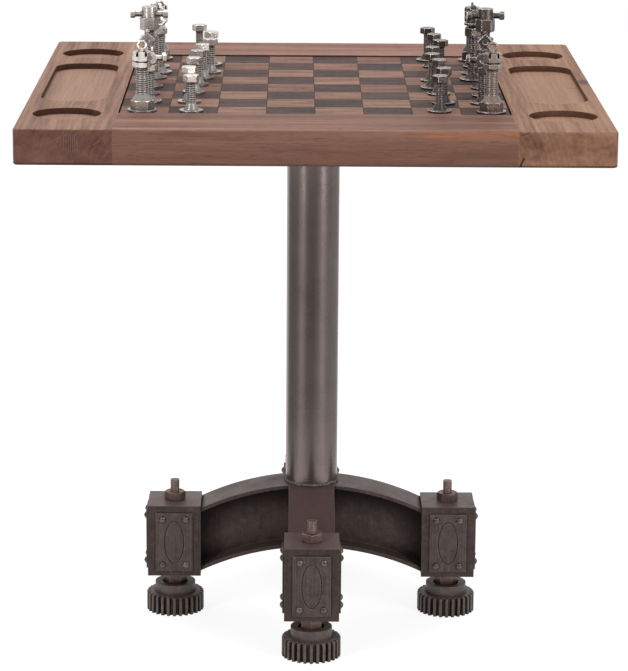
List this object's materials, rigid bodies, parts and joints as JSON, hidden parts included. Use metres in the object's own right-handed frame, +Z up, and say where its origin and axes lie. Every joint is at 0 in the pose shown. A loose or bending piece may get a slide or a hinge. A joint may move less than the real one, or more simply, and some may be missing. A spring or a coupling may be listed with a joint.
{
  "type": "pedestal chess table",
  "caption": "Square pedestal chess table: thick wooden top with inlaid board, cup recesses and trays, steel pipe column, crossed arches and gear levelling feet, with bolt chess pieces.",
  "frame": {"origin": "on the floor, under the axis of the column", "axes": "+Z up, +X to the right of the board (towards the dark set), +Y away from the front edge"},
  "size_m": [0.762, 0.762, 0.8705],
  "materials": {
    "reclaimed_wood": "waxed, worn and knotted",
    "tenon_wood": "raw",
    "panel_wood": "raw plywood",
    "brown_square_wood": "waxed",
    "black_square_wood": "stained black, waxed",
    "base_steel": "dark brown patina, waxed",
    "screw_steel": "plated",
    "column_steel": "brown grey patina, satin",
    "weld_steel": "rough weld bead",
    "face_plate_steel": "dark patina, worn",
    "rivet_steel": "dark, worn bright on top",
    "rusty_steel": "rusted",
    "gear_steel": "machined, dark and oily",
    "silver_piece_steel": "bright, polished",
    "dark_piece_steel": "blackened, edges bright"
  },
  "bodies": {
    "table": {"back_leg": "base_steel", "back_rail": "reclaimed_wood", "backing_panel": "panel_wood", "column_tube": "column_steel", "column_welds": "weld_steel", "dark_squares": "black_square_wood", "face_plates": "face_plate_steel", "frame_tenons": "tenon_wood", "front_leg": "base_steel", "front_rail": "reclaimed_wood", "left_end_board": "reclaimed_wood", "leg_boxes": "base_steel", "light_squares": "brown_square_wood", "lock_nuts": "rusty_steel", "mounting_plate": "base_steel", "mounting_screws": "screw_steel", "plate_rivets": "rivet_steel", "right_end_board": "reclaimed_wood", "side_arch": "base_steel"},
    "foot_left": {"gear_foot_left": "gear_steel"},
    "stud_left": {"levelling_stud_left": "rusty_steel"},
    "foot_right": {"gear_foot_right": "gear_steel"},
    "stud_right": {"levelling_stud_right": "rusty_steel"},
    "foot_front": {"gear_foot_front": "gear_steel"},
    "stud_front": {"levelling_stud_front": "rusty_steel"},
    "foot_back": {"gear_foot_back": "gear_steel"},
    "stud_back": {"levelling_stud_back": "rusty_steel"},
    "dark_bishop_back": {"dark_bishop_back": "dark_piece_steel"},
    "dark_bishop_front": {"dark_bishop_front": "dark_piece_steel"},
    "dark_king": {"dark_king": "dark_piece_steel"},
    "dark_knight_back": {"dark_knight_back": "dark_piece_steel"},
    "dark_knight_front": {"dark_knight_front": "dark_piece_steel"},
    "dark_pawn_1": {"dark_pawn_1": "dark_piece_steel"},
    "dark_pawn_2": {"dark_pawn_2": "dark_piece_steel"},
    "dark_pawn_3": {"dark_pawn_3": "dark_piece_steel"},
    "dark_pawn_4": {"dark_pawn_4": "dark_piece_steel"},
    "dark_pawn_5": {"dark_pawn_5": "dark_piece_steel"},
    "dark_pawn_6": {"dark_pawn_6": "dark_piece_steel"},
    "dark_pawn_7": {"dark_pawn_7": "dark_piece_steel"},
    "dark_pawn_8": {"dark_pawn_8": "dark_piece_steel"},
    "dark_queen": {"dark_queen": "dark_piece_steel"},
    "dark_rook_back": {"dark_rook_back": "dark_piece_steel"},
    "dark_rook_front": {"dark_rook_front": "dark_piece_steel"},
    "silver_bishop_back": {"silver_bishop_back": "silver_piece_steel"},
    "silver_bishop_front": {"silver_bishop_front": "silver_piece_steel"},
    "silver_king": {"silver_king": "silver_piece_steel"},
    "silver_knight_back": {"silver_knight_back": "silver_piece_steel"},
    "silver_knight_front": {"silver_knight_front": "silver_piece_steel"},
    "silver_pawn_1": {"silver_pawn_1": "silver_piece_steel"},
    "silver_pawn_2": {"silver_pawn_2": "silver_piece_steel"},
    "silver_pawn_3": {"silver_pawn_3": "silver_piece_steel"},
    "silver_pawn_4": {"silver_pawn_4": "silver_piece_steel"},
    "silver_pawn_5": {"silver_pawn_5": "silver_piece_steel"},
    "silver_pawn_6": {"silver_pawn_6": "silver_piece_steel"},
    "silver_pawn_7": {"silver_pawn_7": "silver_piece_steel"},
    "silver_pawn_8": {"silver_pawn_8": "silver_piece_steel"},
    "silver_queen": {"silver_queen": "silver_piece_steel"},
    "silver_rook_back": {"silver_rook_back": "silver_piece_steel"},
    "silver_rook_front": {"silver_rook_front": "silver_piece_steel"}
  },
  "joints": [
    {"name": "foot_lift_left", "type": "slide", "parent": "table", "child": "foot_left", "axis": [0, 0, 1], "range_m": [-0.016, 0.004]},
    {"name": "stud_turn_left", "type": "hinge", "parent": "foot_left", "child": "stud_left", "pos_m": [-0.194, 0, 0.1], "axis": [0, 0, 1], "range_deg": [-2304, 576]},
    {"name": "foot_lift_right", "type": "slide", "parent": "table", "child": "foot_right", "axis": [0, 0, 1], "range_m": [-0.016, 0.004]},
    {"name": "stud_turn_right", "type": "hinge", "parent": "foot_right", "child": "stud_right", "pos_m": [0.194, 0, 0.1], "axis": [0, 0, 1], "range_deg": [-2304, 576]},
    {"name": "foot_lift_front", "type": "slide", "parent": "table", "child": "foot_front", "axis": [0, 0, 1], "range_m": [-0.016, 0.004]},
    {"name": "stud_turn_front", "type": "hinge", "parent": "foot_front", "child": "stud_front", "pos_m": [0, -0.194, 0.1], "axis": [0, 0, 1], "range_deg": [-2304, 576]},
    {"name": "foot_lift_back", "type": "slide", "parent": "table", "child": "foot_back", "axis": [0, 0, 1], "range_m": [-0.016, 0.004]},
    {"name": "stud_turn_back", "type": "hinge", "parent": "foot_back", "child": "stud_back", "pos_m": [0, 0.194, 0.1], "axis": [0, 0, 1], "range_deg": [-2304, 576]},
    {"name": "lift_dark_bishop_back", "type": "slide", "parent": "table", "child": "dark_bishop_back", "axis": [0, 0, 1], "range_m": [0, 0.13]},
    {"name": "lift_dark_bishop_front", "type": "slide", "parent": "table", "child": "dark_bishop_front", "axis": [0, 0, 1], "range_m": [0, 0.13]},
    {"name": "lift_dark_king", "type": "slide", "parent": "table", "child": "dark_king", "axis": [0, 0, 1], "range_m": [0, 0.13]},
    {"name": "lift_dark_knight_back", "type": "slide", "parent": "table", "child": "dark_knight_back", "axis": [0, 0, 1], "range_m": [0, 0.13]},
    {"name": "lift_dark_knight_front", "type": "slide", "parent": "table", "child": "dark_knight_front", "axis": [0, 0, 1], "range_m": [0, 0.13]},
    {"name": "lift_dark_pawn_1", "type": "slide", "parent": "table", "child": "dark_pawn_1", "axis": [0, 0, 1], "range_m": [0, 0.13]},
    {"name": "lift_dark_pawn_2", "type": "slide", "parent": "table", "child": "dark_pawn_2", "axis": [0, 0, 1], "range_m": [0, 0.13]},
    {"name": "lift_dark_pawn_3", "type": "slide", "parent": "table", "child": "dark_pawn_3", "axis": [0, 0, 1], "range_m": [0, 0.13]},
    {"name": "lift_dark_pawn_4", "type": "slide", "parent": "table", "child": "dark_pawn_4", "axis": [0, 0, 1], "range_m": [0, 0.13]},
    {"name": "lift_dark_pawn_5", "type": "slide", "parent": "table", "child": "dark_pawn_5", "axis": [0, 0, 1], "range_m": [0, 0.13]},
    {"name": "lift_dark_pawn_6", "type": "slide", "parent": "table", "child": "dark_pawn_6", "axis": [0, 0, 1], "range_m": [0, 0.13]},
    {"name": "lift_dark_pawn_7", "type": "slide", "parent": "table", "child": "dark_pawn_7", "axis": [0, 0, 1], "range_m": [0, 0.13]},
    {"name": "lift_dark_pawn_8", "type": "slide", "parent": "table", "child": "dark_pawn_8", "axis": [0, 0, 1], "range_m": [0, 0.13]},
    {"name": "lift_dark_queen", "type": "slide", "parent": "table", "child": "dark_queen", "axis": [0, 0, 1], "range_m": [0, 0.13]},
    {"name": "lift_dark_rook_back", "type": "slide", "parent": "table", "child": "dark_rook_back", "axis": [0, 0, 1], "range_m": [0, 0.13]},
    {"name": "lift_dark_rook_front", "type": "slide", "parent": "table", "child": "dark_rook_front", "axis": [0, 0, 1], "range_m": [0, 0.13]},
    {"name": "lift_silver_bishop_back", "type": "slide", "parent": "table", "child": "silver_bishop_back", "axis": [0, 0, 1], "range_m": [0, 0.13]},
    {"name": "lift_silver_bishop_front", "type": "slide", "parent": "table", "child": "silver_bishop_front", "axis": [0, 0, 1], "range_m": [0, 0.13]},
    {"name": "lift_silver_king", "type": "slide", "parent": "table", "child": "silver_king", "axis": [0, 0, 1], "range_m": [0, 0.13]},
    {"name": "lift_silver_knight_back", "type": "slide", "parent": "table", "child": "silver_knight_back", "axis": [0, 0, 1], "range_m": [0, 0.13]},
    {"name": "lift_silver_knight_front", "type": "slide", "parent": "table", "child": "silver_knight_front", "axis": [0, 0, 1], "range_m": [0, 0.13]},
    {"name": "lift_silver_pawn_1", "type": "slide", "parent": "table", "child": "silver_pawn_1", "axis": [0, 0, 1], "range_m": [0, 0.13]},
    {"name": "lift_silver_pawn_2", "type": "slide", "parent": "table", "child": "silver_pawn_2", "axis": [0, 0, 1], "range_m": [0, 0.13]},
    {"name": "lift_silver_pawn_3", "type": "slide", "parent": "table", "child": "silver_pawn_3", "axis": [0, 0, 1], "range_m": [0, 0.13]},
    {"name": "lift_silver_pawn_4", "type": "slide", "parent": "table", "child": "silver_pawn_4", "axis": [0, 0, 1], "range_m": [0, 0.13]},
    {"name": "lift_silver_pawn_5", "type": "slide", "parent": "table", "child": "silver_pawn_5", "axis": [0, 0, 1], "range_m": [0, 0.13]},
    {"name": "lift_silver_pawn_6", "type": "slide", "parent": "table", "child": "silver_pawn_6", "axis": [0, 0, 1], "range_m": [0, 0.13]},
    {"name": "lift_silver_pawn_7", "type": "slide", "parent": "table", "child": "silver_pawn_7", "axis": [0, 0, 1], "range_m": [0, 0.13]},
    {"name": "lift_silver_pawn_8", "type": "slide", "parent": "table", "child": "silver_pawn_8", "axis": [0, 0, 1], "range_m": [0, 0.13]},
    {"name": "lift_silver_queen", "type": "slide", "parent": "table", "child": "silver_queen", "axis": [0, 0, 1], "range_m": [0, 0.13]},
    {"name": "lift_silver_rook_back", "type": "slide", "parent": "table", "child": "silver_rook_back", "axis": [0, 0, 1], "range_m": [0, 0.13]},
    {"name": "lift_silver_rook_front", "type": "slide", "parent": "table", "child": "silver_rook_front", "axis": [0, 0, 1], "range_m": [0, 0.13]}
  ],
  "couplings": [
    {"joint": "stud_turn_left", "follows": "foot_lift_left", "rad_per_m": 2513.3},
    {"joint": "stud_turn_right", "follows": "foot_lift_right", "rad_per_m": 2513.3},
    {"joint": "stud_turn_front", "follows": "foot_lift_front", "rad_per_m": 2513.3},
    {"joint": "stud_turn_back", "follows": "foot_lift_back", "rad_per_m": 2513.3}
  ]
}
